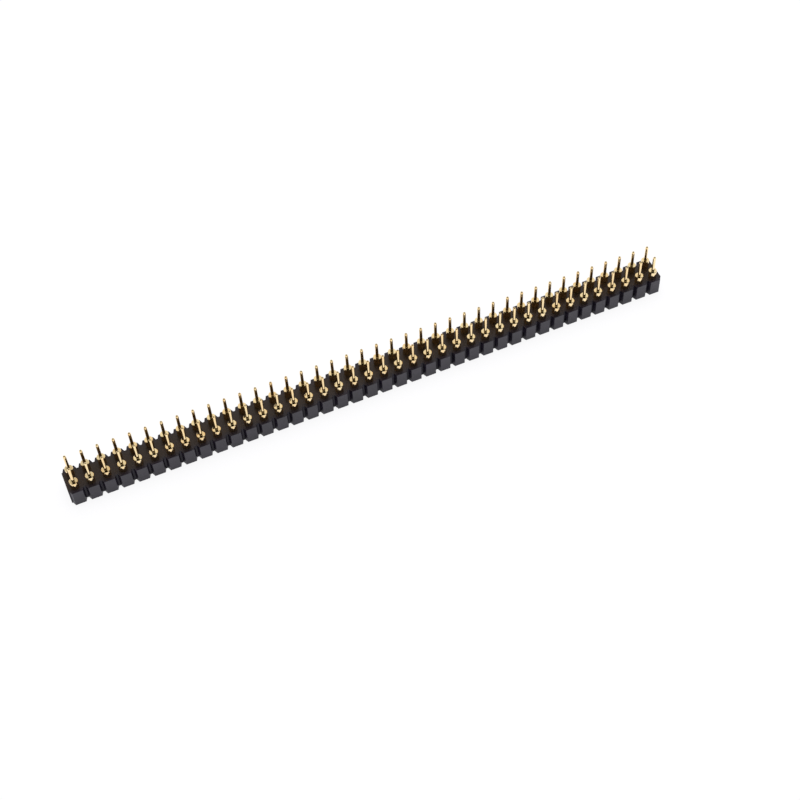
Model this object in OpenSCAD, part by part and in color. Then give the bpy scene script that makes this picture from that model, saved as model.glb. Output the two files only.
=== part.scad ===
// Double-row female header strip with turned contacts.
// Units are millimetres. The origin is the centre of the socket face, which the
// strip rests on: sockets open towards -Z, solder tails point along +Z, and the
// positions run along X. Row 1 lies on the -Y side.

/* [Strip] */
// Number of contact positions along the strip
positions = 40; // [2:1:44]
// Number of rows of contacts
rows = 2; // [1:1:2]
// Distance between neighbouring positions
pitch = 2.54; // [2.4:0.01:3]
// Distance between the rows
row_pitch = 2.54; // [2.4:0.01:7.62]
// Distance from the outer row's centre line to the long face beside it
row_edge = 1.25; // [1.15:0.01:2]
// Height of the moulded insulator
body_h = 3; // [2.4:0.05:3.4]

/* [Snap notches] */
// Depth of the V-shaped notch between two positions
notch_depth = 0.65; // [0.3:0.01:0.7]
// Width of the notch where it meets the long face
notch_mouth_w = 0.86; // [0.5:0.01:0.95]
// Width of the flat at the bottom of the notch
notch_floor_w = 0.3; // [0.1:0.01:0.4]

/* [Contact sleeve] */
// Diameter of the head on the socket side
head_d = 1.83; // [1.7:0.01:1.95]
// Thickness of the head
head_t = 0.5; // [0.4:0.01:0.8]
// How far the head's face lies below the socket face
head_recess = 0.05; // [0:0.01:0.15]
// Diameter of the barrel
barrel_d = 1.32; // [1.26:0.01:1.38]
// Height of the barrel's shoulder above the tail side of the insulator
barrel_rise = 1.45; // [0.6:0.05:1.6]
// Chamfer on the shoulder's edge and on the head's edge
edge_chamfer = 0.06; // [0.02:0.01:0.12]
// Diameter of the retaining barb
barb_d = 1.42; // [1.4:0.01:1.5]
// Length of the barb's ramp
barb_l = 0.35; // [0.2:0.01:0.6]
// Height of the barb's edge above the head's seat
barb_rise = 0.7; // [0.2:0.01:0.9]

/* [Solder tail] */
// Diameter of the tail
tail_d = 0.5; // [0.4:0.01:0.7]
// Length of the tail above the shoulder
tail_l = 3.15; // [2.5:0.05:4.5]
// Height of the rounded tip
tip_l = 0.35; // [0.1:0.01:0.5]
// Diameter of the flat at the end of the tip
tip_d = 0.15; // [0.05:0.01:0.3]
// Radius of the fillet where the tail leaves the shoulder
root_r = 0.06; // [0.02:0.01:0.1]

/* [Socket] */
// Diameter of the hole drilled into the sleeve
socket_d = 1; // [0.9:0.01:1.06]
// Depth of the hole's straight wall below the sleeve's face
socket_l = 3.1; // [2.7:0.05:3.2]
// Diameter of the countersunk mouth
mouth_d = 1.4; // [1.2:0.01:1.5]
// Depth of the countersink
mouth_l = 0.2; // [0.1:0.01:0.3]
// Point angle of the drill that made the hole
drill_angle = 118; // [90:1:140]

/* [Spring clip] */
// Depth of the clip's rim below the end of the countersink
clip_inset = 0.05; // [0:0.01:0.2]
// Thickness of the clip's sheet
clip_t = 0.09; // [0.06:0.01:0.12]
// Length of the closed collar
collar_l = 0.65; // [0.4:0.01:0.9]
// Length of the fingers
finger_l = 1.45; // [1:0.01:1.6]
// Number of fingers
fingers = 4; // [3:1:6]
// Width of the slit between two fingers
slit_w = 0.13; // [0.08:0.01:0.18]
// Diameter left open between the finger tips
throat_d = 0.34; // [0.25:0.01:0.45]
// Length of the straight stretch at the finger tips, which grips the pin
throat_l = 0.25; // [0.1:0.01:0.4]
// Thickness that the sheet thins down to at the ends of the fingers
finger_end_t = 0.06; // [0.03:0.01:0.08]

/* [Fits] */
// Radial play between a sleeve and its hole in the insulator
sleeve_play = 0.01; // [0.005:0.005:0.03]
// Radial play between a clip and the sleeve that it is pressed into
clip_play = 0.005; // [0.005:0.005:0.02]

/* [Hidden] */
$fn = 64;
// Cutters run past the faces that they cut by this much
cut = 0.5;
// Arc steps of the small fillet and of the rounded tip
arc_steps = 4;
// Positions whose clips share one node
clip_run = 4;

body_l = positions * pitch;
body_w = (rows - 1) * row_pitch + 2 * row_edge;
seat_z = head_recess + head_t;
barb_z = seat_z + barb_rise;
shoulder_z = body_h + barrel_rise;
tip_z = shoulder_z + tail_l;
socket_z = head_recess + socket_l;
clip_z = head_recess + mouth_l + clip_inset;
collar_z = clip_z + collar_l;
finger_z = collar_z + finger_l;
throat_z = finger_z - throat_l;

function two_digits(n) = n < 10 ? str("0", n) : str(n);
function sleeves_name(i) = str("sleeves_", two_digits(i));
function clips_name(g) = str("clips_", two_digits(g));
function position_x(i) = (i - (positions + 1) / 2) * pitch;
function row_y(r) = (r - (rows + 1) / 2) * row_pitch;

clip_runs = ceil(positions / clip_run);

// ---- Insulator ----

// One long edge of the insulator, from -X to +X, as the points round its notches
function notched_edge(y, inward) = concat(
    [[-body_l / 2, y + inward * notch_depth]],
    [[-body_l / 2 + notch_floor_w / 2, y + inward * notch_depth]],
    [for (i = [1 : positions]) each concat(
        [
            [position_x(i) - pitch / 2 + notch_mouth_w / 2, y],
            [position_x(i) + pitch / 2 - notch_mouth_w / 2, y],
            [position_x(i) + pitch / 2 - notch_floor_w / 2, y + inward * notch_depth]
        ],
        i < positions
            ? [[position_x(i) + pitch / 2 + notch_floor_w / 2, y + inward * notch_depth]]
            : [[body_l / 2, y + inward * notch_depth]]
    )]
);

function reversed(points) = [for (k = [len(points) - 1 : -1 : 0]) points[k]];

// Seat for one sleeve: a counterbore for its head and a hole with a groove for its barb
module contact_hole() {
    head_r = head_d / 2 + sleeve_play;
    hole_r = barrel_d / 2 + sleeve_play;
    groove_r = barb_d / 2 + sleeve_play;
    rotate_extrude()
        polygon([
            [0, -cut],
            [head_r, -cut],
            [head_r, seat_z],
            [hole_r, seat_z],
            [hole_r, barb_z - sleeve_play],
            [groove_r, barb_z - sleeve_play],
            [groove_r, barb_z],
            [hole_r, barb_z + barb_l],
            [hole_r, body_h + cut],
            [0, body_h + cut]
        ]);
}

// The moulded strip, with snap notches on both long sides and a stepped hole for each contact
module insulator() {
    color([0.16, 0.15, 0.17])
        difference() {
            linear_extrude(body_h)
                polygon(concat(
                    notched_edge(-body_w / 2, 1),
                    reversed(notched_edge(body_w / 2, -1))
                ));
            for (i = [1 : positions], r = [1 : rows])
                translate([position_x(i), row_y(r), 0])
                    contact_hole();
        }
}

// ---- Turned sleeves ----

// Quarter circle from [r, z0] inwards and up to [r - round_r, z0 + round_h]
function tip_arc(r, z0, round_r, round_h) = [
    for (k = [0 : arc_steps])
        [r - round_r * (1 - cos(90 * k / arc_steps)), z0 + round_h * sin(90 * k / arc_steps)]
];

// Hollow quarter circle from the shoulder's face up to the tail's wall
function root_arc(r, z0) = [
    for (k = [0 : arc_steps])
        [r + root_r * (1 - sin(90 * k / arc_steps)), z0 + root_r * (1 - cos(90 * k / arc_steps))]
];

// Half section of a sleeve with its solder tail, turned from one rod and drilled from the head
module sleeve_section() {
    head_r = head_d / 2;
    barrel_r = barrel_d / 2;
    tail_r = tail_d / 2;
    socket_r = socket_d / 2;
    drill_h = socket_r / tan(drill_angle / 2);
    polygon(concat(
        [
            [mouth_d / 2, head_recess],
            [head_r - edge_chamfer, head_recess],
            [head_r, head_recess + edge_chamfer],
            [head_r, seat_z],
            [barrel_r, seat_z],
            [barrel_r, barb_z],
            [barb_d / 2, barb_z],
            [barrel_r, barb_z + barb_l],
            [barrel_r, shoulder_z - edge_chamfer],
            [barrel_r - edge_chamfer, shoulder_z]
        ],
        root_arc(tail_r, shoulder_z),
        tip_arc(tail_r, tip_z - tip_l, tail_r - tip_d / 2, tip_l),
        [
            [0, tip_z],
            [0, socket_z + drill_h],
            [socket_r, socket_z],
            [socket_r, head_recess + mouth_l]
        ]
    ));
}

// The sleeves of one position, one in each row
module sleeves(i) {
    color([0.93, 0.74, 0.38])
        for (r = [1 : rows])
            translate([position_x(i), row_y(r), 0])
                rotate_extrude()
                    sleeve_section();
}

// ---- Spring clips ----

// A rolled collar whose slit fingers close towards the axis and thin out over the throat
module clip() {
    collar_r = socket_d / 2 - clip_play;
    throat_r = throat_d / 2;
    difference() {
        rotate_extrude()
            polygon([
                [collar_r - clip_t, clip_z],
                [collar_r, clip_z],
                [collar_r, collar_z],
                [throat_r + clip_t, throat_z],
                [throat_r + finger_end_t, finger_z],
                [throat_r, finger_z],
                [throat_r, throat_z],
                [collar_r - clip_t, collar_z]
            ]);
        for (k = [0 : fingers - 1])
            rotate([0, 0, (k + 0.5) * 360 / fingers])
                translate([0, -slit_w / 2, collar_z])
                    cube([socket_d, slit_w, finger_l + cut]);
    }
}

// The clips of one run of neighbouring positions
module clips(g) {
    color([0.85, 0.66, 0.32])
        for (i = [(g - 1) * clip_run + 1 : min(g * clip_run, positions)], r = [1 : rows])
            translate([position_x(i), row_y(r), 0])
                clip();
}

insulator();
for (i = [1 : positions])
    sleeves(i);
for (g = [1 : clip_runs])
    clips(g);
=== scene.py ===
"""Finishes for a double-row header strip: its insulator, turned sleeves, spring clips and stage."""

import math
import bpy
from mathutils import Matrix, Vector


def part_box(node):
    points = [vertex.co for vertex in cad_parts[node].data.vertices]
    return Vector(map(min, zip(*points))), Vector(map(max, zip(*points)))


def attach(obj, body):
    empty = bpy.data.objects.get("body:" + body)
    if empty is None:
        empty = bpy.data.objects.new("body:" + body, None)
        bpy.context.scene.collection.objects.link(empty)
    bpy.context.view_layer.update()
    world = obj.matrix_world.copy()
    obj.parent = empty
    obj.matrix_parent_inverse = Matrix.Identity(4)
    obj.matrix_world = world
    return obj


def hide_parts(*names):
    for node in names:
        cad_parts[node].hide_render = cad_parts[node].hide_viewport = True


bl_info = {
    "name": "Header Strip Finishes",
    "version": (1, 0, 0),
    "blender": (4, 5, 0),
    "location": "3D View > Sidebar > Header Strip",
    "description": "Moulded insulator, gold-plated turned sleeves and spring clips of a header strip",
    "category": "Object",
}

import bmesh
import bpy
from bpy.props import FloatProperty, FloatVectorProperty, IntProperty, PointerProperty
from mathutils import Quaternion, Vector
from mathutils.geometry import delaunay_2d_cdt

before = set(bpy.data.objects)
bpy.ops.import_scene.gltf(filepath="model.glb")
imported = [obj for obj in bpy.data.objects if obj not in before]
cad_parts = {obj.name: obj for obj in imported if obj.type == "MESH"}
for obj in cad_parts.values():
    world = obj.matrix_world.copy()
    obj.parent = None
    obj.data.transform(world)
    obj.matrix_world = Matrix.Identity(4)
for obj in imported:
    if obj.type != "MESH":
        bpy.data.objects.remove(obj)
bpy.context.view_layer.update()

MM = 0.001
BODY = "root"

# ---- Sizes that the frame gives ----

INSULATOR_NODE = "insulator"
SLEEVE_NODES = sorted(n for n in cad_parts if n.startswith("sleeves_"))
CLIP_NODES = sorted(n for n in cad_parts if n.startswith("clips_"))


def rounded(length):
    """A length from the frame's mesh, to the nearest micrometre."""
    return round(length, 6)


body_low, body_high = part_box(INSULATOR_NODE)
sleeve_low, sleeve_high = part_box(SLEEVE_NODES[0])
next_low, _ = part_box(SLEEVE_NODES[1])
clip_low, clip_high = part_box(CLIP_NODES[0])

POSITIONS = len(SLEEVE_NODES)
ROWS = 2
BODY_W = rounded(body_high.y - body_low.y)
BODY_H = rounded(body_high.z)
PITCH = rounded(next_low.x - sleeve_low.x)
HEAD_D = rounded(sleeve_high.x - sleeve_low.x)
ROW_PITCH = rounded(sleeve_high.y - sleeve_low.y - HEAD_D)
HEAD_Z = rounded(sleeve_low.z)
TIP_Z = rounded(sleeve_high.z)
CLIP_Z = rounded(clip_low.z)
FINGER_Z = rounded(clip_high.z)

# Vertices round a turned piece, round a hole and across one finger of a clip
TURNED_SEGMENTS = 28
HOLE_SEGMENTS = 32
FINGER_POINTS = 6
# Steps of the arcs at the tail's tip and at its root
TIP_STEPS = 4
ROOT_STEPS = 3
# Turns in degrees above which an edge is shaded hard, or rounded by the mould
MOULDED_CREASE = 35
TURNED_CREASE = 32
ROUNDED_CREASE = 30
MERGE_DISTANCE = 1e-7


# ---- Settings ----


class InsulatorSettings(bpy.types.PropertyGroup):
    """Sizes and colour of the moulded insulator."""

    notch_depth: FloatProperty(
        name="Notch depth", description="Depth of the V between two positions",
        default=0.65 * MM, unit="LENGTH",
    )
    notch_mouth: FloatProperty(
        name="Notch mouth", description="Width of the V at the long face",
        default=0.86 * MM, unit="LENGTH",
    )
    notch_floor: FloatProperty(
        name="Notch floor", description="Width of the flat at the bottom of the V",
        default=0.3 * MM, unit="LENGTH",
    )
    edge_radius: FloatProperty(
        name="Edge radius", description="Radius that the mould leaves on the outer edges",
        default=0.05 * MM, unit="LENGTH",
    )
    play: FloatProperty(
        name="Hole play", description="Radial play between a sleeve and its hole",
        default=0.01 * MM, unit="LENGTH",
    )
    colour: FloatVectorProperty(
        name="Plastic", description="Colour of the moulded plastic",
        default=(0.0055, 0.0038, 0.009), size=3, min=0, max=1, subtype="COLOR",
    )
    # Painted reflection: a warm brown on the top face between the rows, standing in for the gold
    # sleeves mirrored in the glossy plastic
    gold_reflection_colour: FloatVectorProperty(
        name="Painted gold reflection", description="Colour of the face round the gold sleeves",
        default=(0.020, 0.0095, 0.0035), size=3, min=0, max=1, subtype="COLOR",
    )
    sheen_colour: FloatVectorProperty(
        name="Flow marks", description="Paler colour of the plastic's flow marks",
        default=(0.012, 0.008, 0.018), size=3, min=0, max=1, subtype="COLOR",
    )


class SleeveSettings(bpy.types.PropertyGroup):
    """Sizes and colour of the turned contact sleeves."""

    head_height: FloatProperty(
        name="Head", description="Thickness of the head on the socket side",
        default=0.5 * MM, unit="LENGTH",
    )
    barrel_radius: FloatProperty(
        name="Barrel radius", description="Radius of the barrel",
        default=0.66 * MM, unit="LENGTH",
    )
    barrel_rise: FloatProperty(
        name="Barrel rise", description="Height of the shoulder above the insulator",
        default=1.45 * MM, unit="LENGTH",
    )
    edge_chamfer: FloatProperty(
        name="Edge chamfer", description="Chamfer on the shoulder's edge and on the head's edge",
        default=0.06 * MM, unit="LENGTH",
    )
    barb_radius: FloatProperty(
        name="Barb radius", description="Radius of the retaining barb",
        default=0.71 * MM, unit="LENGTH",
    )
    barb_rise: FloatProperty(
        name="Barb rise", description="Height of the barb's edge above the head",
        default=0.7 * MM, unit="LENGTH",
    )
    barb_length: FloatProperty(
        name="Barb length", description="Length of the barb's ramp",
        default=0.35 * MM, unit="LENGTH",
    )
    tail_radius: FloatProperty(
        name="Tail radius", description="Radius of the solder tail",
        default=0.25 * MM, unit="LENGTH",
    )
    tip_height: FloatProperty(
        name="Tip", description="Height of the tail's rounded tip",
        default=0.35 * MM, unit="LENGTH",
    )
    tip_flat: FloatProperty(
        name="Tip flat", description="Radius of the flat at the end of the tip",
        default=0.075 * MM, unit="LENGTH",
    )
    root_radius: FloatProperty(
        name="Root fillet", description="Fillet where the tail leaves the shoulder",
        default=0.02 * MM, unit="LENGTH",
    )
    hold_distance: FloatProperty(
        name="Hold",
        description="Distance from a fillet to the ring that keeps the face beside it straight",
        default=0.02 * MM, unit="LENGTH",
    )
    socket_radius: FloatProperty(
        name="Socket radius", description="Radius of the drilled socket",
        default=0.5 * MM, unit="LENGTH",
    )
    socket_depth: FloatProperty(
        name="Socket depth", description="Depth of the socket's straight wall",
        default=3.1 * MM, unit="LENGTH",
    )
    mouth_radius: FloatProperty(
        name="Mouth radius", description="Radius of the countersunk mouth",
        default=0.7 * MM, unit="LENGTH",
    )
    mouth_depth: FloatProperty(
        name="Mouth depth", description="Depth of the countersink",
        default=0.2 * MM, unit="LENGTH",
    )
    drill_angle: FloatProperty(
        name="Drill point", description="Point angle of the drill that made the socket",
        default=math.radians(118), subtype="ANGLE",
    )
    colour: FloatVectorProperty(
        name="Gold", description="Colour of the gold plating",
        default=(1.00, 0.81, 0.46), size=3, min=0, max=1, subtype="COLOR",
    )
    worn_colour: FloatVectorProperty(
        name="Thin gold", description="Colour where the plating is thin",
        default=(0.92, 0.61, 0.26), size=3, min=0, max=1, subtype="COLOR",
    )
    seed: IntProperty(name="Seed", description="Seed of each sleeve's own tone", default=7)


class ClipSettings(bpy.types.PropertyGroup):
    """Sizes and colour of the spring clips inside the sleeves."""

    play: FloatProperty(
        name="Play", description="Radial play between a clip and its sleeve",
        default=0.005 * MM, unit="LENGTH",
    )
    sheet: FloatProperty(
        name="Sheet", description="Thickness of the clip's sheet",
        default=0.09 * MM, unit="LENGTH",
    )
    end_sheet: FloatProperty(
        name="Finger end", description="Thickness that the sheet thins down to at the finger ends",
        default=0.06 * MM, unit="LENGTH",
    )
    collar_length: FloatProperty(
        name="Collar", description="Length of the closed collar",
        default=0.65 * MM, unit="LENGTH",
    )
    slit: FloatProperty(
        name="Slit", description="Width of the slit between two fingers",
        default=0.13 * MM, unit="LENGTH",
    )
    throat_radius: FloatProperty(
        name="Throat radius", description="Radius left open between the finger tips",
        default=0.17 * MM, unit="LENGTH",
    )
    throat_length: FloatProperty(
        name="Throat", description="Length of the straight stretch at the finger tips",
        default=0.25 * MM, unit="LENGTH",
    )
    fingers: IntProperty(name="Fingers", description="Number of fingers", default=4, min=3, max=6)
    colour: FloatVectorProperty(
        name="Clip gold", description="Colour of the plated spring sheet",
        default=(0.88, 0.66, 0.36), size=3, min=0, max=1, subtype="COLOR",
    )
    seed: IntProperty(name="Seed", description="Seed of each clip's own tone", default=3)


class StageSettings(bpy.types.PropertyGroup):
    """Camera, floor and light."""

    aim: FloatVectorProperty(
        name="Aim", description="Point on the floor at the middle of the picture",
        default=(2.307 * MM, -5.02 * MM, 0), size=3, subtype="XYZ", unit="LENGTH",
    )
    distance: FloatProperty(
        name="Distance", description="From the camera to that point",
        default=236.68 * MM, unit="LENGTH",
    )
    azimuth: FloatProperty(
        name="Azimuth", description="Heading of the camera's view, from +Y towards +X",
        default=math.radians(20.771), subtype="ANGLE",
    )
    elevation: FloatProperty(
        name="Elevation", description="Height of the camera above the horizon",
        default=math.radians(52.842), subtype="ANGLE",
    )
    roll: FloatProperty(
        name="Roll", description="Clockwise turn of the camera about its own view",
        default=math.radians(3.435), subtype="ANGLE",
    )
    lens: FloatProperty(name="Lens", description="Focal length in millimetres", default=67.08)
    floor_size: FloatProperty(
        name="Floor", description="Side of the floor", default=3.0, unit="LENGTH",
    )
    floor_colour: FloatVectorProperty(
        name="Floor colour", description="Colour of the floor", default=(0.9, 0.88, 0.95),
        size=3, min=0, max=1, subtype="COLOR",
    )
    glow_share: FloatProperty(
        name="Floor glow", description="Share of the floor's own white in what is seen of it",
        default=0.88, min=0, max=1,
    )
    mirror_share: FloatProperty(
        name="Mirrored glow", description="Share of the floor's own white in its reflections",
        default=0.5, min=0, max=1,
    )
    dark_side: FloatProperty(
        name="Dark side", description="Brightness of the studio above and behind the camera",
        default=0.01, min=0, max=1,
    )
    beside: FloatProperty(
        name="Beside", description="Brightness of the studio to the left and right of the camera",
        default=0.1, min=0, max=1,
    )
    bright_side: FloatProperty(
        name="Bright side", description="Brightness of the studio's lit walls and of its panel",
        default=0.88, min=0, max=1,
    )
    fill_colour: FloatVectorProperty(
        name="Fill", description="Light that the surroundings give to dull surfaces",
        default=(0.8, 0.8, 0.82), size=3, min=0, max=1, subtype="COLOR",
    )
    lamp_place: FloatVectorProperty(
        name="Lamp", description="Place of the soft lamp",
        default=(0.1, 0.25, 0.6), size=3, subtype="XYZ", unit="LENGTH",
    )
    lamp_side: FloatProperty(
        name="Lamp side", description="Side of the square soft lamp", default=0.6, unit="LENGTH",
    )
    lamp_power: FloatProperty(
        name="Lamp power", description="Power of the soft lamp in watts", default=3.0, min=0,
    )


# ---- Mesh helpers ----


def arc(centre, radii, start, end, steps):
    """Points (r, z) on an elliptical arc, from start to end in degrees."""
    turns = [math.radians(start + (end - start) * k / steps) for k in range(steps + 1)]
    return [(centre[0] + radii[0] * math.cos(t), centre[1] + radii[1] * math.sin(t)) for t in turns]


def ring(mesh, radius, height, angles, centre=(0.0, 0.0)):
    """One vertex for each angle on a circle, or a single one on the axis."""
    if radius == 0:
        return [mesh.verts.new((centre[0], centre[1], height))]
    return [
        mesh.verts.new((centre[0] + radius * math.cos(a), centre[1] + radius * math.sin(a), height))
        for a in angles
    ]


def skin(mesh, first, second):
    """Faces from one closed ring of vertices to the next, either of which may be a point."""
    count = max(len(first), len(second))
    for k in range(count):
        corners = [
            first[k % len(first)], first[(k + 1) % len(first)],
            second[(k + 1) % len(second)], second[k % len(second)],
        ]
        mesh.faces.new(list(dict.fromkeys(corners)))


def evenly(count):
    """Angles spaced evenly round a full turn."""
    return [2 * math.pi * k / count for k in range(count)]


def base_object(name, mesh):
    """A new object at the origin that holds the finished bmesh."""
    data = bpy.data.meshes.new(name)
    mesh.to_mesh(data)
    mesh.free()
    piece = bpy.data.objects.new(name, data)
    bpy.context.scene.collection.objects.link(piece)
    return piece


def bake_modifiers(piece):
    """Turns the evaluated piece into a plain mesh and takes its modifiers off."""
    graph = bpy.context.evaluated_depsgraph_get()
    made = bpy.data.meshes.new_from_object(piece.evaluated_get(graph), depsgraph=graph)
    piece.modifiers.clear()
    piece.data = made


def smooth_shading(piece, angle):
    """Smooth faces, with hard edges where the surface turns by more than the angle in degrees."""
    for face in piece.data.polygons:
        face.use_smooth = True
    piece.data.set_sharp_from_angle(angle=math.radians(angle))


def finish_piece(piece, nodes):
    """Hands a piece to the frame: it rides on the strip and stands for its nodes."""
    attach(piece, BODY)
    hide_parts(*nodes)


# ---- Geometry Nodes helpers ----


def node_with(tree, kind, **values):
    """A new node with its input sockets set by name, spaces written as underscores."""
    made = tree.nodes.new(kind)
    for name, value in values.items():
        made.inputs[name.replace("_", " ")].default_value = value
    return made


def math_node(tree, operation, first, second):
    """A Math node. Each operand is a number or a socket."""
    made = tree.nodes.new("ShaderNodeMath")
    made.operation = operation
    for slot, value in enumerate((first, second)):
        if isinstance(value, bpy.types.NodeSocket):
            tree.links.new(value, made.inputs[slot])
        else:
            made.inputs[slot].default_value = value
    return made.outputs[0]


def vector_node(tree, operation, first, second=None):
    """A vector math node on a socket, and on a constant where the operation takes one."""
    made = tree.nodes.new("ShaderNodeVectorMath")
    made.operation = operation
    tree.links.new(first, made.inputs[0])
    if second:
        made.inputs[1].default_value = second
    return made


def new_geometry_tree(name, sizes):
    """A node tree with geometry in and out, a material input and the named sizes."""
    tree = bpy.data.node_groups.new(name, "GeometryNodeTree")
    tree.interface.new_socket("Geometry", in_out="INPUT", socket_type="NodeSocketGeometry")
    for size, kind in sizes.items():
        tree.interface.new_socket(size, in_out="INPUT", socket_type=kind)
    tree.interface.new_socket("Material", in_out="INPUT", socket_type="NodeSocketMaterial")
    tree.interface.new_socket("Geometry", in_out="OUTPUT", socket_type="NodeSocketGeometry")
    return tree, tree.nodes.new("NodeGroupInput"), tree.nodes.new("NodeGroupOutput")


def add_tree(piece, tree, values):
    """Puts the tree on the piece, with each of its inputs set through the socket's identifier."""
    modifier = piece.modifiers.new(tree.name, "NODES")
    modifier.node_group = tree
    for item in tree.interface.items_tree:
        if item.in_out == "INPUT" and item.name in values:
            modifier[item.identifier] = values[item.name]


def realized(tree, geometry, given, out):
    """Ends a tree in Realize Instances and Set Material."""
    real = tree.nodes.new("GeometryNodeRealizeInstances")
    paint = tree.nodes.new("GeometryNodeSetMaterial")
    tree.links.new(geometry, real.inputs["Geometry"])
    tree.links.new(real.outputs["Geometry"], paint.inputs["Geometry"])
    tree.links.new(given.outputs["Material"], paint.inputs["Material"])
    tree.links.new(paint.outputs["Geometry"], out.inputs["Geometry"])


def contact_field_tree():
    """Copies one contact to every place of the strip and gives each copy a tone of its own."""
    sizes = {
        "Positions": "NodeSocketInt", "Rows": "NodeSocketInt",
        "Pitch": "NodeSocketFloat", "Row Pitch": "NodeSocketFloat", "Seed": "NodeSocketInt",
    }
    tree, given, out = new_geometry_tree("Contact field", sizes)
    grid = tree.nodes.new("GeometryNodeMeshGrid")
    for count, step, side, size in (
        ("Positions", "Pitch", "Vertices X", "Size X"),
        ("Rows", "Row Pitch", "Vertices Y", "Size Y"),
    ):
        gaps = math_node(tree, "SUBTRACT", given.outputs[count], 1)
        tree.links.new(math_node(tree, "MULTIPLY", gaps, given.outputs[step]), grid.inputs[size])
        tree.links.new(given.outputs[count], grid.inputs[side])
    place = tree.nodes.new("GeometryNodeInstanceOnPoints")
    tree.links.new(grid.outputs["Mesh"], place.inputs["Points"])
    tree.links.new(given.outputs["Geometry"], place.inputs["Instance"])
    chance = tree.nodes.new("FunctionNodeRandomValue")
    chance.data_type = "FLOAT"
    tree.links.new(given.outputs["Seed"], chance.inputs["Seed"])
    tone = tree.nodes.new("GeometryNodeStoreNamedAttribute")
    tone.data_type = "FLOAT"
    tone.domain = "INSTANCE"
    tone.inputs["Name"].default_value = "tone"
    tree.links.new(place.outputs["Instances"], tone.inputs["Geometry"])
    tree.links.new(chance.outputs["Value"], tone.inputs["Value"])
    realized(tree, tone.outputs["Geometry"], given, out)
    return tree


def strip_of_cells_tree():
    """Joins copies of one insulator cell into a strip and closes both of its ends."""
    sizes = {
        "Positions": "NodeSocketInt", "Pitch": "NodeSocketFloat",
        "End Width": "NodeSocketFloat", "Height": "NodeSocketFloat",
    }
    tree, given, out = new_geometry_tree("Strip of cells", sizes)
    line = tree.nodes.new("GeometryNodeMeshLine")
    line.mode = "OFFSET"
    tree.links.new(given.outputs["Positions"], line.inputs["Count"])
    length = math_node(tree, "MULTIPLY", given.outputs["Positions"], given.outputs["Pitch"])
    half = math_node(tree, "MULTIPLY", length, 0.5)
    half_cell = math_node(tree, "MULTIPLY", given.outputs["Pitch"], 0.5)
    start = tree.nodes.new("ShaderNodeCombineXYZ")
    tree.links.new(math_node(tree, "SUBTRACT", half_cell, half), start.inputs["X"])
    tree.links.new(start.outputs[0], line.inputs["Start Location"])
    step = tree.nodes.new("ShaderNodeCombineXYZ")
    tree.links.new(given.outputs["Pitch"], step.inputs["X"])
    tree.links.new(step.outputs[0], line.inputs["Offset"])
    place = tree.nodes.new("GeometryNodeInstanceOnPoints")
    tree.links.new(line.outputs["Mesh"], place.inputs["Points"])
    tree.links.new(given.outputs["Geometry"], place.inputs["Instance"])
    wall = node_with(tree, "GeometryNodeMeshGrid", Vertices_X=2, Vertices_Y=2)
    tree.links.new(given.outputs["End Width"], wall.inputs["Size X"])
    tree.links.new(given.outputs["Height"], wall.inputs["Size Y"])
    joined = tree.nodes.new("GeometryNodeJoinGeometry")
    for side in (-1, 1):
        turn = (math.pi / 2, 0, side * math.pi / 2)
        stand = node_with(tree, "GeometryNodeTransform", Rotation=turn)
        spot = tree.nodes.new("ShaderNodeCombineXYZ")
        tree.links.new(math_node(tree, "MULTIPLY", half, side), spot.inputs["X"])
        tree.links.new(math_node(tree, "MULTIPLY", given.outputs["Height"], 0.5), spot.inputs["Z"])
        tree.links.new(spot.outputs[0], stand.inputs["Translation"])
        tree.links.new(wall.outputs["Mesh"], stand.inputs["Geometry"])
        tree.links.new(stand.outputs["Geometry"], joined.inputs["Geometry"])
    tree.links.new(place.outputs["Instances"], joined.inputs["Geometry"])
    real = tree.nodes.new("GeometryNodeRealizeInstances")
    weld = node_with(tree, "GeometryNodeMergeByDistance", Distance=MERGE_DISTANCE)
    tree.links.new(joined.outputs["Geometry"], real.inputs["Geometry"])
    tree.links.new(real.outputs["Geometry"], weld.inputs["Geometry"])
    realized(tree, weld.outputs["Geometry"], given, out)
    return tree


# ---- Materials ----


def new_material(name):
    """A material with its Principled shader and an Object coordinate."""
    material = bpy.data.materials.new(name)
    material.use_nodes = True
    tree = material.node_tree
    shader = tree.nodes["Principled BSDF"]
    coordinate = tree.nodes.new("ShaderNodeTexCoord").outputs["Object"]
    return material, tree, shader, coordinate


def noise(tree, coordinate, grain, detail, stretch=(1, 1, 1)):
    """Noise whose grain is a length in metres, drawn out along an axis by its stretch."""
    mapping = tree.nodes.new("ShaderNodeMapping")
    mapping.inputs["Scale"].default_value = [1 / (grain * s) for s in stretch]
    texture = node_with(tree, "ShaderNodeTexNoise", Scale=1.0, Detail=detail)
    tree.links.new(coordinate, mapping.inputs["Vector"])
    tree.links.new(mapping.outputs["Vector"], texture.inputs["Vector"])
    return texture.outputs["Fac"]


def ranged(tree, value, low, high, start=0.3, end=0.7):
    """Maps a value between start and end to the range from low to high, and holds it there."""
    made = node_with(
        tree, "ShaderNodeMapRange", From_Min=start, From_Max=end, To_Min=low, To_Max=high
    )
    tree.links.new(value, made.inputs["Value"])
    return made.outputs["Result"]


def mixed(tree, factor, first, second):
    """A colour between two others. Each is fixed or a socket."""
    made = tree.nodes.new("ShaderNodeMix")
    made.data_type = "RGBA"
    for slot, value in (("A", first), ("B", second)):
        if isinstance(value, bpy.types.NodeSocket):
            tree.links.new(value, made.inputs[slot])
        else:
            made.inputs[slot].default_value = (*value, 1)
    tree.links.new(factor, made.inputs["Factor"])
    return made.outputs["Result"]


def bumped(tree, shader, height, depth, strength):
    """Raises the surface by the height value, at most by the depth in metres."""
    bump = node_with(tree, "ShaderNodeBump", Strength=strength, Distance=depth)
    tree.links.new(height, bump.inputs["Height"])
    tree.links.new(bump.outputs["Normal"], shader.inputs["Normal"])


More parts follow.
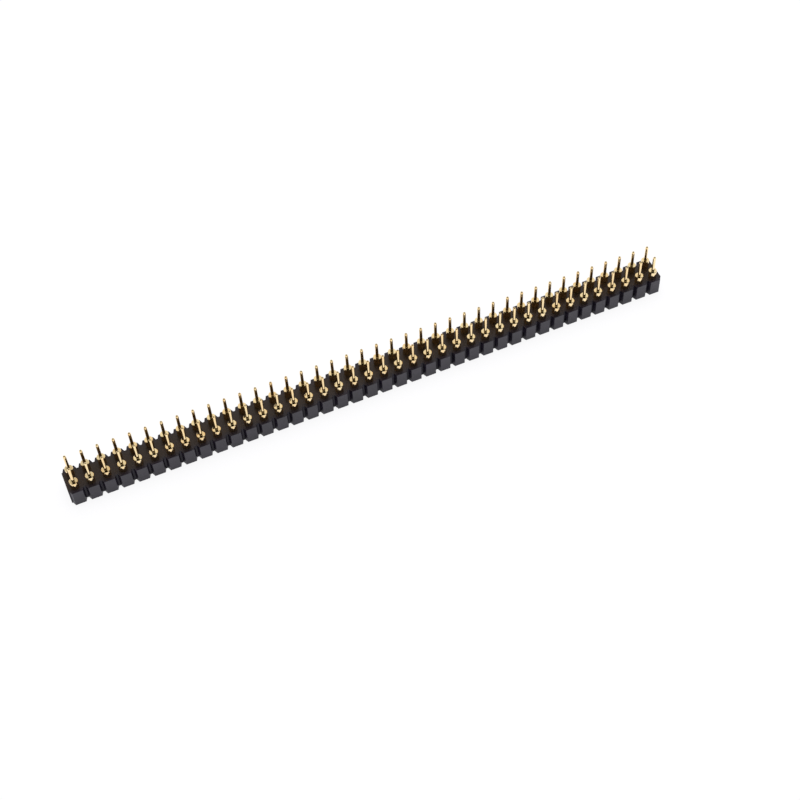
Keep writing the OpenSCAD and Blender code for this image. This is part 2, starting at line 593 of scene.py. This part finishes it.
def moulded_plastic(settings):
    """Glass-filled black plastic: flow marks, a painted warm reflection of the gold on the top face
    between the rows, and dull in the notches.
    """
    grain_size, grain_depth = 0.09 * MM, 0.003 * MM
    flow_size, flow_stretch = 0.9 * MM, (2.5, 1, 1)
    smoothest, roughest = 0.34, 0.44
    face_gloss, notch_gloss = 0.48, 0.17
    side_z, top_z = BODY_H - 0.1 * MM, BODY_H - 0.05 * MM
    material, tree, shader, coordinate = new_material("Moulded plastic")
    grain = noise(tree, coordinate, grain_size, detail=4.0)
    flow = noise(tree, coordinate, flow_size, detail=2.0, stretch=flow_stretch)
    colour = mixed(tree, ranged(tree, flow, 0, 1), settings.colour, settings.sheen_colour)
    # Painted reflection: the top face between the rows is tinted warm brown, fading out towards the
    # long faces, in place of the gold sleeves mirrored in the plastic
    place = tree.nodes.new("ShaderNodeSeparateXYZ")
    tree.links.new(coordinate, place.inputs[0])
    off_middle = math_node(tree, "ABSOLUTE", place.outputs["Y"], 0)
    inner = ranged(tree, off_middle, 1.0, 0.0, ROW_PITCH / 2, BODY_W / 2)
    on_top = ranged(tree, place.outputs["Z"], 0.0, 1.0, side_z, top_z)
    painted_reflection = math_node(tree, "MULTIPLY", inner, on_top)
    colour = mixed(tree, painted_reflection, colour, settings.gold_reflection_colour)
    tree.links.new(colour, shader.inputs["Base Color"])
    tree.links.new(ranged(tree, grain, smoothest, roughest), shader.inputs["Roughness"])
    shader.inputs["IOR"].default_value = 1.57
    recess = tree.nodes.new("ShaderNodeAttribute")
    recess.attribute_name = "recess"
    gloss = ranged(tree, recess.outputs["Fac"], face_gloss, notch_gloss, 0, 1)
    tree.links.new(gloss, shader.inputs["Specular IOR Level"])
    bumped(tree, shader, grain, grain_depth, strength=0.5)
    return material


def plated_gold(name, colour, thin_colour, roughness):
    """Gold over nickel on turned brass: fine turning marks, and a tone for each piece."""
    patch_size = 0.5 * MM
    mark_size, mark_depth, mark_stretch = 0.02 * MM, 0.001 * MM, (20, 20, 1)
    material, tree, shader, coordinate = new_material(name)
    tone = tree.nodes.new("ShaderNodeAttribute")
    tone.attribute_name = "tone"
    patches = noise(tree, coordinate, patch_size, detail=2.0)
    thin = math_node(tree, "MULTIPLY", tone.outputs["Fac"], ranged(tree, patches, 0.1, 0.9))
    tree.links.new(mixed(tree, thin, colour, thin_colour), shader.inputs["Base Color"])
    marks = noise(tree, coordinate, mark_size, detail=2.0, stretch=mark_stretch)
    low, high = roughness
    tree.links.new(ranged(tree, marks, low, high), shader.inputs["Roughness"])
    shader.inputs["Metallic"].default_value = 1.0
    bumped(tree, shader, marks, mark_depth, strength=0.15)
    return material


# ---- Insulator ----


def cell_outline(settings):
    """Corners of one cell of the strip, seen from above, anticlockwise from its -X web."""
    half_x, half_y = PITCH / 2, BODY_W / 2
    tooth_x = half_x - settings.notch_mouth / 2
    floor_x = half_x - settings.notch_floor / 2
    web_y = half_y - settings.notch_depth
    front = [(-half_x, -web_y), (-floor_x, -web_y), (-tooth_x, -half_y)]
    front += [(-x, y) for x, y in reversed(front)]
    return front + [(-x, -y) for x, y in front]


def hole_profile(settings, sleeve):
    """Radius and height of each step of a contact hole, from the socket side up."""
    head_r = HEAD_D / 2 + settings.play
    hole_r = sleeve.barrel_radius + settings.play
    groove_r = sleeve.barb_radius + settings.play
    seat_z = HEAD_Z + sleeve.head_height
    barb_z = seat_z + sleeve.barb_rise
    return [
        (head_r, 0.0), (head_r, seat_z), (hole_r, seat_z), (hole_r, barb_z - settings.play),
        (groove_r, barb_z - settings.play), (groove_r, barb_z),
        (hole_r, barb_z + sleeve.barb_length), (hole_r, BODY_H),
    ]


def fill_face(mesh, loops, height, upwards):
    """Fills the first loop at one height, cut along the other loops.

    The insides of those other loops are filled too, so the face closes the holes.
    """
    points = [Vector(v.co.xy) for loop in loops for v in loop]
    corners = [v for loop in loops for v in loop]
    edges, start = [], 0
    for loop in loops:
        edges += [(start + k, start + (k + 1) % len(loop)) for k in range(len(loop))]
        start += len(loop)
    whole_faces = 5
    found = delaunay_2d_cdt(points, edges, [], whole_faces, MERGE_DISTANCE)
    places, faces, sources = found[0], found[2], found[3]
    if len(places) != len(points):
        raise RuntimeError(f"the flat face at {height} m gained or lost a corner")
    for face in faces:
        loop = [corners[sources[k][0]] for k in face]
        mesh.faces.new(loop if upwards else loop[::-1])


def insulator_cell(settings, sleeve):
    """One cell of the insulator, open towards its neighbours, with the edges to round marked."""
    mesh = bmesh.new()
    recess = mesh.faces.layers.float.new("recess")
    outline = cell_outline(settings)
    low = [mesh.verts.new((x, y, 0)) for x, y in outline]
    high = [mesh.verts.new((x, y, BODY_H)) for x, y in outline]
    count = len(outline)
    seams = (count // 2 - 1, count - 1)
    for k in range(count):
        if k not in seams:
            after = (k + 1) % count
            face = mesh.faces.new((low[k], low[after], high[after], high[k]))
            depth = (BODY_W - abs(outline[k][1]) - abs(outline[after][1])) / 2
            face[recess] = depth / settings.notch_depth
    low_loops, high_loops = [low], [high]
    angles = evenly(HOLE_SEGMENTS)
    profile = hole_profile(settings, sleeve)
    for side in (-1, 1):
        centre = (0.0, side * ROW_PITCH / 2)
        rings = [ring(mesh, r, z, angles, centre) for r, z in profile]
        for lower, upper in zip(rings, rings[1:]):
            skin(mesh, upper, lower)
        low_loops.append(rings[0])
        high_loops.append(rings[-1])
    fill_face(mesh, low_loops, 0.0, upwards=False)
    fill_face(mesh, high_loops, BODY_H, upwards=True)
    weight = mesh.edges.layers.float.new("bevel_weight_edge")
    half_x = PITCH / 2
    for edge in mesh.edges:
        ends = [v.co for v in edge.verts]
        on_seam = all(abs(abs(c.x) - half_x) < MERGE_DISTANCE for c in ends)
        level = all(c.z in (0.0, high[0].co.z) for c in ends)
        turned = len(edge.link_faces) == 2 and edge.calc_face_angle() > math.radians(ROUNDED_CREASE)
        if turned and level and not on_seam:
            edge[weight] = 1.0
    return mesh


class STRIP_OT_insulator(bpy.types.Operator):
    """Mould the insulator: a strip of notched cells with rounded edges"""

    bl_idname = "strip.insulator"
    bl_label = "Mould Insulator"

    def execute(self, context):
        settings, sleeve = context.scene.strip_insulator, context.scene.strip_sleeve
        piece = base_object("moulded_insulator", insulator_cell(settings, sleeve))
        material = moulded_plastic(settings)
        values = {
            "Positions": POSITIONS, "Pitch": PITCH, "Height": BODY_H,
            "End Width": BODY_W - 2 * settings.notch_depth, "Material": material,
        }
        add_tree(piece, strip_of_cells_tree(), values)
        bevel = piece.modifiers.new("Mould radius", "BEVEL")
        bevel.limit_method = "WEIGHT"
        bevel.width = settings.edge_radius
        bevel.segments = 2
        bake_modifiers(piece)
        smooth_shading(piece, MOULDED_CREASE)
        finish_piece(piece, [INSULATOR_NODE])
        return {"FINISHED"}


# ---- Turned sleeves ----


def sleeve_profile(settings):
    """Half section of a sleeve, from its tip down the outside and back up the socket."""
    tail_r, barrel_r, head_r = settings.tail_radius, settings.barrel_radius, HEAD_D / 2
    shoulder_z = BODY_H + settings.barrel_rise
    seat_z = HEAD_Z + settings.head_height
    barb_z = seat_z + settings.barb_rise
    socket_z = HEAD_Z + settings.socket_depth
    root = settings.root_radius
    chamfer = settings.edge_chamfer
    drill_h = settings.socket_radius / math.tan(settings.drill_angle / 2)
    tip_r, tip_h = tail_r - settings.tip_flat, settings.tip_height
    tip = arc((settings.tip_flat, TIP_Z - tip_h), (tip_r, tip_h), 90, 0, TIP_STEPS)
    fillet = arc((tail_r + root, shoulder_z + root), (root, root), 180, 270, ROOT_STEPS)
    hold = settings.hold_distance
    wall = [(tail_r, TIP_Z - tip_h - hold), (tail_r, shoulder_z + root + hold)]
    flat = [(tail_r + root + hold, shoulder_z), (barrel_r - chamfer, shoulder_z)]
    return [
        (0.0, TIP_Z), *tip, *wall, *fillet, *flat, (barrel_r, shoulder_z - chamfer),
        (barrel_r, barb_z + settings.barb_length), (settings.barb_radius, barb_z),
        (barrel_r, barb_z), (barrel_r, seat_z), (head_r, seat_z),
        (head_r, HEAD_Z + chamfer), (head_r - chamfer, HEAD_Z),
        (settings.mouth_radius, HEAD_Z), (settings.socket_radius, HEAD_Z + settings.mouth_depth),
        (settings.socket_radius, socket_z), (0.0, socket_z + drill_h),
    ]


def turned_mesh(profile, segments):
    """Turns a half section round the Z axis into a closed shell."""
    mesh = bmesh.new()
    angles = evenly(segments)
    rings = [ring(mesh, r, z, angles) for r, z in profile]
    for upper, lower in zip(rings, rings[1:]):
        skin(mesh, lower, upper)
    bmesh.ops.recalc_face_normals(mesh, faces=mesh.faces)
    return mesh


def fill_positions(piece, seed, material):
    """Copies a turned or rolled piece to every place of the strip."""
    values = {
        "Positions": POSITIONS, "Rows": ROWS, "Pitch": PITCH, "Row Pitch": ROW_PITCH,
        "Seed": seed, "Material": material,
    }
    add_tree(piece, contact_field_tree(), values)
    bake_modifiers(piece)
    smooth_shading(piece, TURNED_CREASE)


class STRIP_OT_sleeves(bpy.types.Operator):
    """Turn the contact sleeves with their solder tails and set one in every hole"""

    bl_idname = "strip.sleeves"
    bl_label = "Turn Sleeves"

    def execute(self, context):
        settings = context.scene.strip_sleeve
        mesh = turned_mesh(sleeve_profile(settings), TURNED_SEGMENTS)
        piece = base_object("turned_sleeves", mesh)
        roughness = (0.02, 0.06)
        gold = plated_gold("Plated sleeve", settings.colour, settings.worn_colour, roughness)
        fill_positions(piece, settings.seed, gold)
        finish_piece(piece, SLEEVE_NODES)
        return {"FINISHED"}


# ---- Spring clips ----


def finger_angles(fingers, radius, slit, points):
    """Angles of the vertices on each finger, which leave a slit of one width between fingers."""
    half = math.pi / fingers - math.asin(slit / 2 / radius)
    steps = [half * (2 * k / (points - 1) - 1) for k in range(points)]
    return [2 * math.pi * f / fingers + s for f in range(fingers) for s in steps]


def clip_mesh(settings, sleeve):
    """A closed collar whose slit fingers close towards the axis."""
    points = FINGER_POINTS
    mesh = bmesh.new()
    collar_r = sleeve.socket_radius - settings.play
    throat_r, sheet = settings.throat_radius, settings.sheet
    stations = [
        (collar_r - sheet, sheet, CLIP_Z), (collar_r - sheet, sheet, CLIP_Z + settings.collar_length),
        (throat_r, sheet, FINGER_Z - settings.throat_length), (throat_r, settings.end_sheet, FINGER_Z),
    ]
    outer, inner = [], []
    for radius, thickness, height in stations:
        angles = finger_angles(settings.fingers, radius + thickness, settings.slit, points)
        outer.append(ring(mesh, radius + thickness, height, angles))
        inner.append(ring(mesh, radius, height, angles))
    skin(mesh, outer[0], outer[1])
    skin(mesh, inner[1], inner[0])
    skin(mesh, inner[0], outer[0])
    total = settings.fingers * points
    for k in range(total):
        after = (k + 1) % total
        if after % points == 0:
            mesh.faces.new((outer[1][k], outer[1][after], inner[1][after], inner[1][k]))
            continue
        for low, high in ((1, 2), (2, 3)):
            mesh.faces.new((outer[low][k], outer[low][after], outer[high][after], outer[high][k]))
            mesh.faces.new((inner[low][after], inner[low][k], inner[high][k], inner[high][after]))
        mesh.faces.new((outer[3][k], outer[3][after], inner[3][after], inner[3][k]))
    for finger in range(settings.fingers):
        for k in (finger * points, (finger + 1) * points - 1):
            for low, high in ((1, 2), (2, 3)):
                mesh.faces.new((outer[low][k], outer[high][k], inner[high][k], inner[low][k]))
    bmesh.ops.recalc_face_normals(mesh, faces=mesh.faces)
    return mesh


class STRIP_OT_clips(bpy.types.Operator):
    """Roll the spring clips and press one into every sleeve"""

    bl_idname = "strip.clips"
    bl_label = "Roll Clips"

    def execute(self, context):
        settings, sleeve = context.scene.strip_clip, context.scene.strip_sleeve
        piece = base_object("spring_clips", clip_mesh(settings, sleeve))
        roughness = (0.18, 0.30)
        gold = plated_gold("Plated clip", settings.colour, sleeve.worn_colour, roughness)
        fill_positions(piece, settings.seed, gold)
        finish_piece(piece, CLIP_NODES)
        return {"FINISHED"}


# ---- Stage ----


def glow_share(tree, settings):
    """Share of the floor's own white: high where it is seen, lower where a mirror shows its shade."""
    path = tree.nodes.new("ShaderNodeLightPath").outputs
    seen = math_node(tree, "MAXIMUM", path["Is Camera Ray"], path["Is Transmission Ray"])
    seen = math_node(tree, "MULTIPLY", seen, settings.glow_share)
    mirrored = math_node(tree, "MULTIPLY", path["Is Glossy Ray"], settings.mirror_share)
    return math_node(tree, "MAXIMUM", seen, mirrored)


def floor_material(settings):
    """White floor that keeps a soft shadow and can be seen through from below."""
    material = bpy.data.materials.new("Studio floor")
    material.use_nodes = True
    tree = material.node_tree
    shader = tree.nodes["Principled BSDF"]
    shader.inputs["Base Color"].default_value = (*settings.floor_colour, 1)
    shader.inputs["Roughness"].default_value = 0.8
    shader.inputs["Specular IOR Level"].default_value = 0.0
    glow = node_with(tree, "ShaderNodeEmission", Strength=1.0)
    paint = tree.nodes.new("ShaderNodeMixShader")
    tree.links.new(glow_share(tree, settings), paint.inputs[0])
    tree.links.new(shader.outputs[0], paint.inputs[1])
    tree.links.new(glow.outputs[0], paint.inputs[2])
    side = tree.nodes.new("ShaderNodeMixShader")
    tree.links.new(tree.nodes.new("ShaderNodeNewGeometry").outputs["Backfacing"], side.inputs[0])
    tree.links.new(paint.outputs[0], side.inputs[1])
    tree.links.new(tree.nodes.new("ShaderNodeBsdfTransparent").outputs[0], side.inputs[2])
    tree.links.new(side.outputs[0], tree.nodes["Material Output"].inputs["Surface"])
    return material


def studio_world(settings):
    """White surroundings, with a dark band and a bright panel in what glossy surfaces show.

    Heights are sines of the angle above the horizon. Headings are cosines of the angle
    from the heading that leads back to the camera. Each pair gives a soft edge.
    """
    band_foot, band_head = (0.35, 0.5), (0.93, 0.98)
    panel_foot, panel_head = (0.62, 0.70), (0.86, 0.92)
    panel_edge, side_edge = (-0.96, -0.88), (-0.3, 0.45)
    world = bpy.data.worlds.new("Studio")
    world.use_nodes = True
    tree = world.node_tree
    sky = tree.nodes["Background"]
    path = tree.nodes.new("ShaderNodeLightPath").outputs
    heading = tree.nodes.new("ShaderNodeTexCoord").outputs["Generated"]
    height = tree.nodes.new("ShaderNodeSeparateXYZ")
    tree.links.new(heading, height.inputs[0])
    level = vector_node(tree, "MULTIPLY", heading, (1, 1, 0))
    level = vector_node(tree, "NORMALIZE", level.outputs["Vector"])
    camera_heading = (-math.sin(settings.azimuth), -math.cos(settings.azimuth), 0)
    towards = vector_node(tree, "DOT_PRODUCT", level.outputs["Vector"], camera_heading)
    towards, height = towards.outputs["Value"], height.outputs["Z"]
    above = ranged(tree, height, 0.0, 1.0, *panel_foot)
    below = ranged(tree, height, 1.0, 0.0, *panel_head)
    ahead = ranged(tree, towards, 1.0, 0.0, *panel_edge)
    panel = math_node(tree, "MULTIPLY", ahead, math_node(tree, "MULTIPLY", above, below))
    above = ranged(tree, height, 0.0, 1.0, *band_foot)
    below = ranged(tree, height, 1.0, 0.0, *band_head)
    band = math_node(tree, "MULTIPLY", above, below)
    shade = math_node(tree, "MULTIPLY", band, math_node(tree, "SUBTRACT", 1.0, panel))
    dim = ranged(tree, towards, settings.beside, settings.dark_side, *side_edge)
    lit = ranged(tree, shade, settings.bright_side, 0.0, 0, 1)
    light = math_node(tree, "ADD", lit, math_node(tree, "MULTIPLY", shade, dim))
    plain = mixed(tree, path["Is Camera Ray"], settings.fill_colour, (1, 1, 1))
    tree.links.new(mixed(tree, path["Is Glossy Ray"], plain, light), sky.inputs["Color"])
    bpy.context.scene.world = world


def add_softbox(settings):
    """A square soft lamp that points at the middle of the strip and shows in no reflection."""
    place = Vector(settings.lamp_place)
    lamp = bpy.data.lights.new("Softbox", "AREA")
    lamp.shape = "SQUARE"
    lamp.size = settings.lamp_side
    lamp.energy = settings.lamp_power
    holder = bpy.data.objects.new("Softbox", lamp)
    holder.location = place
    holder.rotation_euler = (-place).to_track_quat("-Z", "Y").to_euler()
    holder.visible_glossy = False
    bpy.context.scene.collection.objects.link(holder)


def add_camera(settings):
    """Camera at the named heading, height and distance from the point it looks at."""
    back = Vector((
        -math.sin(settings.azimuth) * math.cos(settings.elevation),
        -math.cos(settings.azimuth) * math.cos(settings.elevation),
        math.sin(settings.elevation),
    ))
    data = bpy.data.cameras.new("Camera")
    data.sensor_width = 36.0
    data.lens = settings.lens
    data.clip_start = 0.01
    data.clip_end = 10.0
    camera = bpy.data.objects.new("Camera", data)
    camera.location = Vector(settings.aim) + back * settings.distance
    camera.rotation_mode = "QUATERNION"
    level = (-back).to_track_quat("-Z", "Y")
    camera.rotation_quaternion = level @ Quaternion((0, 0, 1), -settings.roll)
    bpy.context.scene.collection.objects.link(camera)
    bpy.context.scene.camera = camera


class STRIP_OT_stage(bpy.types.Operator):
    """Lay the floor, hang the soft lamp and place the camera"""

    bl_idname = "strip.stage"
    bl_label = "Set Stage"

    def execute(self, context):
        settings = context.scene.strip_stage
        mesh = bmesh.new()
        bmesh.ops.create_grid(mesh, x_segments=1, y_segments=1, size=settings.floor_size / 2)
        floor = base_object("studio_floor", mesh)
        floor.data.materials.append(floor_material(settings))
        studio_world(settings)
        add_softbox(settings)
        add_camera(settings)
        context.scene.view_settings.view_transform = "Standard"
        return {"FINISHED"}


# ---- Panel and registration ----


class STRIP_PT_panel(bpy.types.Panel):
    """Buttons for the pieces and their sizes"""

    bl_idname = "STRIP_PT_panel"
    bl_label = "Header Strip"
    bl_space_type = "VIEW_3D"
    bl_region_type = "UI"
    bl_category = "Header Strip"

    def draw(self, context):
        for operator, group, _ in PARTS:
            box = self.layout.box()
            box.operator(operator.bl_idname)
            settings = getattr(context.scene, group)
            for name in settings.__annotations__:
                box.prop(settings, name)


# Each operator, the scene's name for its settings, and their group
PARTS = (
    (STRIP_OT_insulator, "strip_insulator", InsulatorSettings),
    (STRIP_OT_sleeves, "strip_sleeve", SleeveSettings),
    (STRIP_OT_clips, "strip_clip", ClipSettings),
    (STRIP_OT_stage, "strip_stage", StageSettings),
)


def register():
    for operator, name, group in PARTS:
        bpy.utils.register_class(group)
        setattr(bpy.types.Scene, name, PointerProperty(type=group))
        bpy.utils.register_class(operator)
    bpy.utils.register_class(STRIP_PT_panel)


def unregister():
    bpy.utils.unregister_class(STRIP_PT_panel)
    for operator, name, group in reversed(PARTS):
        bpy.utils.unregister_class(operator)
        delattr(bpy.types.Scene, name)
        bpy.utils.unregister_class(group)


def corners(box):
    """A box as plain lists of numbers."""
    return [list(corner) for corner in box]


def main():
    register()
    bpy.ops.strip.insulator()
    bpy.ops.strip.sleeves()
    bpy.ops.strip.clips()
    bpy.ops.strip.stage()


if __name__ == "__main__":
    main()
